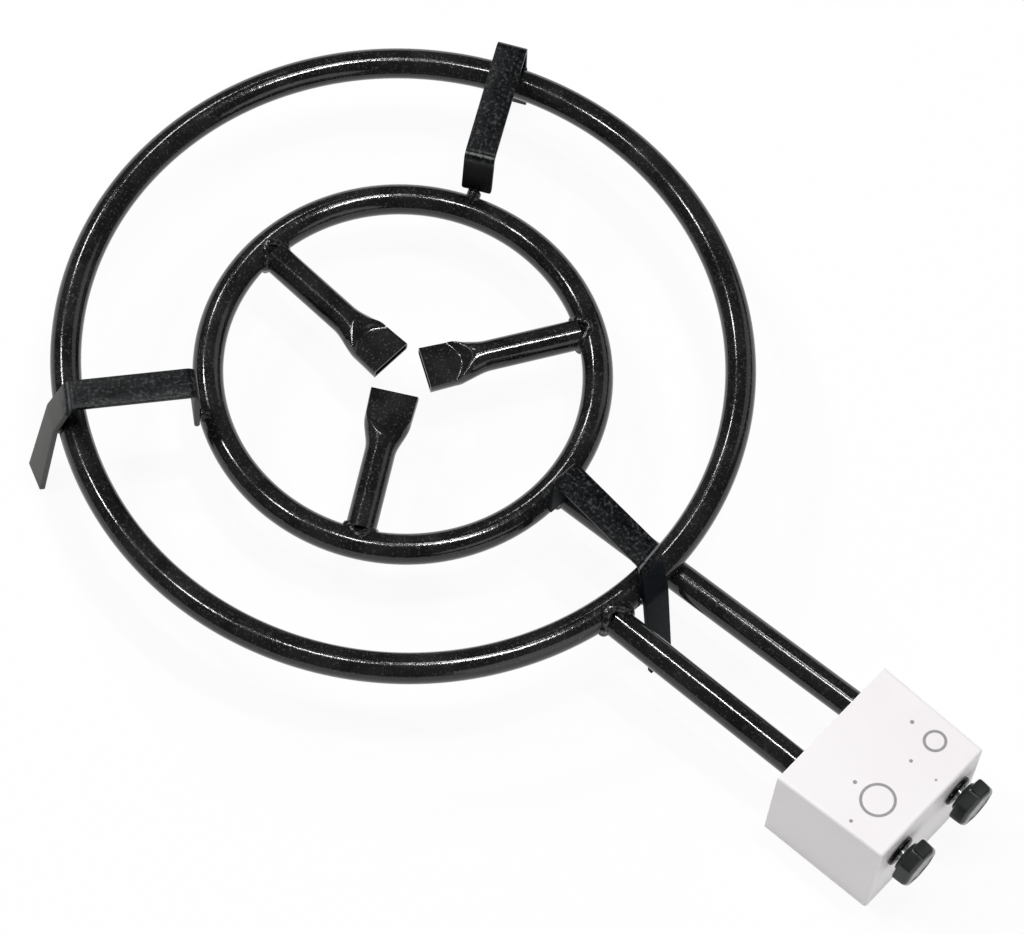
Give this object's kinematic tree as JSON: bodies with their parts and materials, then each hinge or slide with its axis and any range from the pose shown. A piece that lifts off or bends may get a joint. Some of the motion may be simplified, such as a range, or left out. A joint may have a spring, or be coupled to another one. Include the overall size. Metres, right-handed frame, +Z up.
{
  "type": "gas burner stand",
  "caption": "Low gas burner with two concentric tube rings, centre jets, flat-bar pan brackets that form the legs, and a sheet-steel control box with push-and-turn taps.",
  "frame": {"origin": "bottom centre of the bounding box, on the floor", "axes": "+X from the rings to the control box's front, +Z up"},
  "size_m": [0.7632, 0.5042, 0.126],
  "materials": {
    "black_enamel": "gloss",
    "bar_steel": "matt",
    "white_paint": "gloss",
    "zinc": "satin",
    "brass": "satin",
    "black_plastic": "satin"
  },
  "bodies": {
    "frame": {"outer_ring": "black_enamel", "inner_ring": "black_enamel", "outer_feed_tube": "black_enamel", "inner_feed_tube": "black_enamel", "centre_jet_rear": "black_enamel", "centre_jet_left": "black_enamel", "centre_jet_right": "black_enamel", "bracket_front": "bar_steel", "bracket_left": "bar_steel", "bracket_right": "bar_steel", "box_cover": "white_paint", "box_back_plate": "white_paint", "gas_manifold": "zinc", "manifold_carrier": "zinc", "carrier_rear_screw": "zinc", "carrier_manifold_screw": "zinc", "hose_nozzle": "brass", "outer_tap_body": "brass", "outer_injector": "brass", "outer_tap_bonnet": "brass", "outer_panel_nut": "zinc", "inner_tap_body": "brass", "inner_injector": "brass", "inner_tap_bonnet": "brass", "inner_panel_nut": "zinc"},
    "outer_plug": {"outer_tap_plug": "brass"},
    "outer_control": {"outer_tap_stem": "zinc", "outer_return_spring": "zinc", "outer_knob": "black_plastic"},
    "inner_plug": {"inner_tap_plug": "brass"},
    "inner_control": {"inner_tap_stem": "zinc", "inner_return_spring": "zinc", "inner_knob": "black_plastic"}
  },
  "joints": [
    {"name": "outer_tap_turn", "type": "hinge", "parent": "frame", "child": "outer_plug", "pos_m": [0.33275, -0.03535, 0.0655], "axis": [1, 0, 0], "range_deg": [0, 200]},
    {"name": "outer_knob_push", "type": "slide", "parent": "outer_plug", "child": "outer_control", "axis": [-1, 0, 0], "range_m": [0, 0.0025], "stiffness_N_per_m": 1500, "springref_m": -0.0006},
    {"name": "inner_tap_turn", "type": "hinge", "parent": "frame", "child": "inner_plug", "pos_m": [0.33275, 0.02566, 0.0655], "axis": [1, 0, 0], "range_deg": [0, 200]},
    {"name": "inner_knob_push", "type": "slide", "parent": "inner_plug", "child": "inner_control", "axis": [-1, 0, 0], "range_m": [0, 0.0025], "stiffness_N_per_m": 1500, "springref_m": -0.0006}
  ]
}
